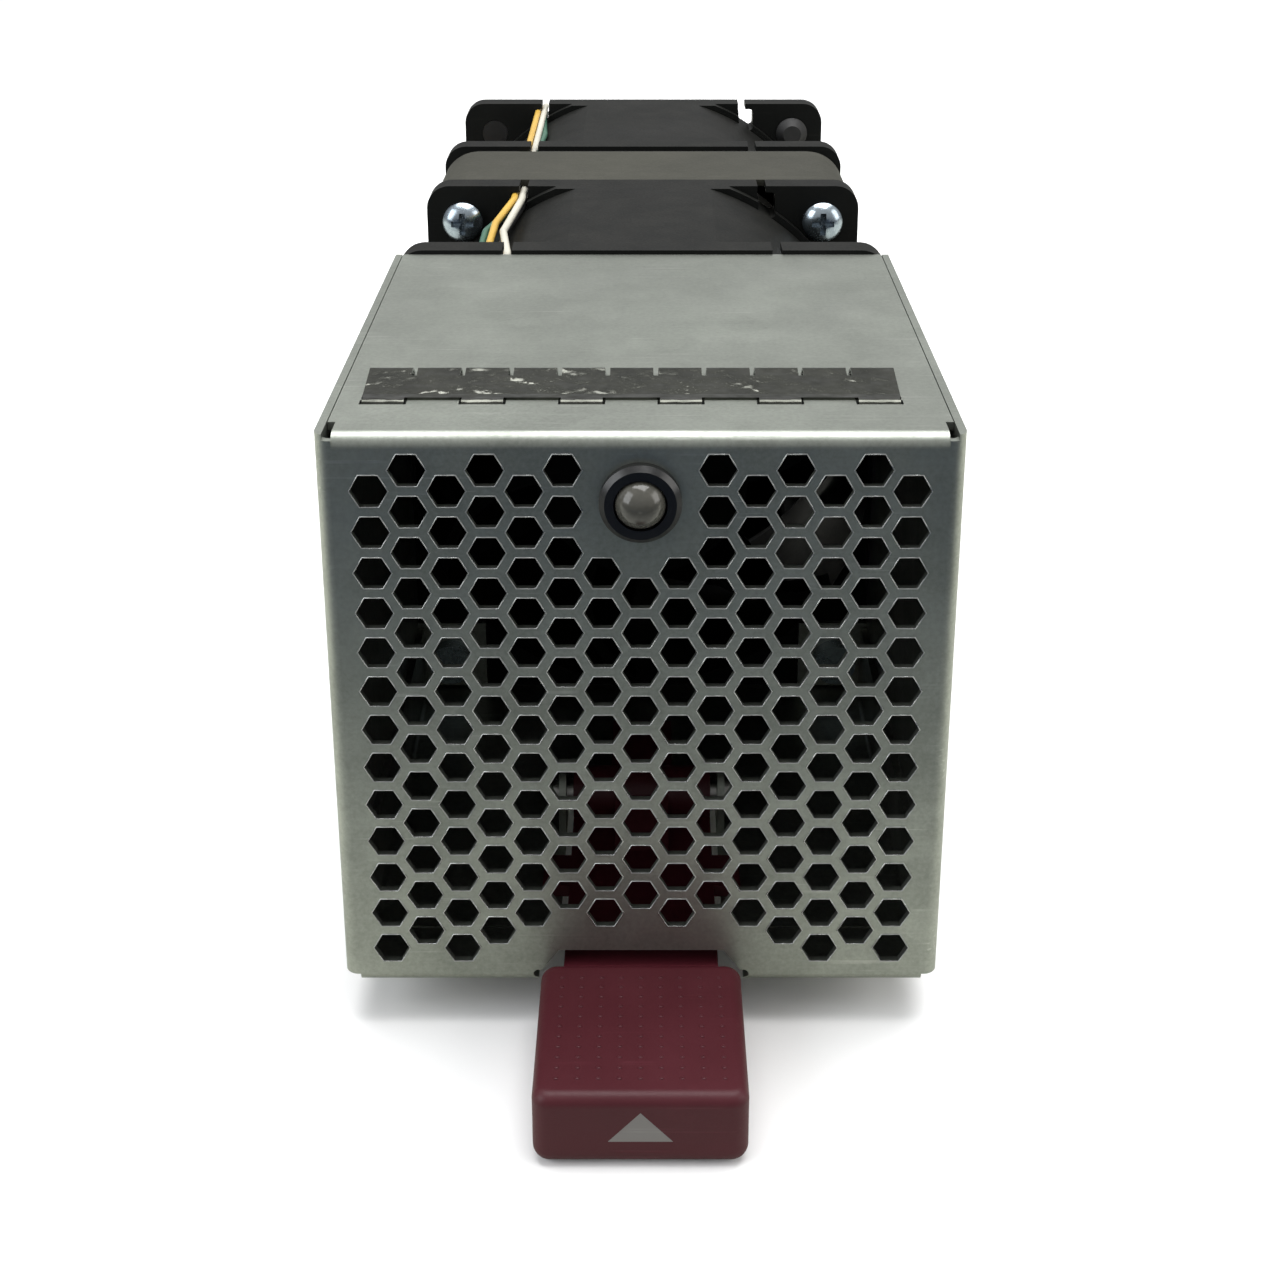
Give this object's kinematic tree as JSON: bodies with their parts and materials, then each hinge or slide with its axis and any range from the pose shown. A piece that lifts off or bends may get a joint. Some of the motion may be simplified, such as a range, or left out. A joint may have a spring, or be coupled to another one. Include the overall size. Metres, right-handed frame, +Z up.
{
  "type": "storage array fan module",
  "caption": "Slide-in fan module: perforated sheet-metal box, two axial fans in line with a duct spacer, sprung release latch and rear docking connector.",
  "frame": {"origin": "centre of the overall box on the plane of its lowest point, which is the underside of the latch handle, 4.7 mm below the base of the sheet-metal box", "axes": "+X to the right seen from the perforated face, +Y from that face towards the rear connector, +Z up"},
  "size_m": [0.06, 0.1924, 0.0653],
  "materials": {
    "galvanised": "zinc-coated sheet, dull with faint spangle and handling marks",
    "spring_steel": "bright rolled strip",
    "bare_steel": "ground steel",
    "zinc_screw": "blue-white zinc plate",
    "black_screw": "blackened steel",
    "buffer_rubber": "black rubber",
    "led_holder": "black moulded nylon",
    "led_lens": "frosted epoxy, unlit",
    "shrink_sleeve": "heat-shrink",
    "latch_plastic": "burgundy moulding with a fine dot grip",
    "arrow_grey": "light grey inlay",
    "fan_frame": "black glass-filled moulding",
    "fan_impeller": "black moulding, satin",
    "ferrite": "bonded magnet",
    "brass": "turned brass",
    "circuit_board": "solder resist",
    "lamination": "stacked silicon steel",
    "copper_wire": "enamelled winding",
    "spacer_plastic": "grey moulding",
    "foam_seal": "closed-cell foam",
    "connector_plastic": "black housing",
    "contact_gold": "gold flash",
    "lead_yellow": "wire insulation",
    "lead_green": "wire insulation",
    "lead_white": "wire insulation",
    "lead_black": "wire insulation"
  },
  "bodies": {
    "root": {"front_shell": "galvanised", "face_grille": "galvanised", "bottom_plate": "galvanised", "corner_tabs": "galvanised", "contact_strip": "spring_steel", "led_holder": "led_holder", "led_lens": "led_lens", "led_legs": "bare_steel", "led_sleeve": "shrink_sleeve", "led_lead": "lead_white", "latch_pin": "bare_steel", "latch_spring": "spring_steel", "duct_spacer": "spacer_plastic", "spacer_seal": "foam_seal", "shell_screws": "zinc_screw", "clinch_nuts": "zinc_screw", "spacer_front_screws": "zinc_screw", "spacer_rear_screws": "zinc_screw", "dock_bracket": "galvanised", "dock_connector": "connector_plastic", "dock_contacts": "contact_gold", "bracket_screws": "black_screw", "rear_buffer": "buffer_rubber", "wire_yellow": "lead_yellow", "wire_green": "lead_green", "wire_black": "lead_black", "rear_fan_frame": "fan_frame", "rear_fan_bearing_tube": "brass", "rear_fan_bearings": "bare_steel", "rear_fan_circuit_board": "circuit_board", "rear_fan_stator_core": "lamination", "rear_fan_stator_coils": "copper_wire", "front_fan_frame": "fan_frame", "front_fan_bearing_tube": "brass", "front_fan_bearings": "bare_steel", "front_fan_circuit_board": "circuit_board", "front_fan_stator_core": "lamination", "front_fan_stator_coils": "copper_wire"},
    "front_rotor": {"front_fan_impeller": "fan_impeller", "front_fan_rotor_yoke": "bare_steel", "front_fan_magnet_ring": "ferrite", "front_fan_shaft": "bare_steel"},
    "rear_rotor": {"rear_fan_impeller": "fan_impeller", "rear_fan_rotor_yoke": "bare_steel", "rear_fan_magnet_ring": "ferrite", "rear_fan_shaft": "bare_steel"},
    "latch": {"latch_lever": "latch_plastic", "release_arrow": "arrow_grey"}
  },
  "joints": [
    {"name": "front_fan_spin", "type": "hinge", "parent": "root", "child": "front_rotor", "pos_m": [0, 0.00615, 0.0347], "axis": [0, 1, 0], "continuous": true},
    {"name": "rear_fan_spin", "type": "hinge", "parent": "root", "child": "rear_rotor", "pos_m": [0, 0.06615, 0.0347], "axis": [0, 1, 0], "continuous": true},
    {"name": "latch_lift", "type": "hinge", "parent": "root", "child": "latch", "pos_m": [0, -0.04535, 0.0089], "axis": [-1, 0, 0], "range_deg": [0, 3.2], "stiffness_Nm_per_rad": 0.5, "springref_deg": -14.32, "deforming": ["latch_spring"]}
  ]
}
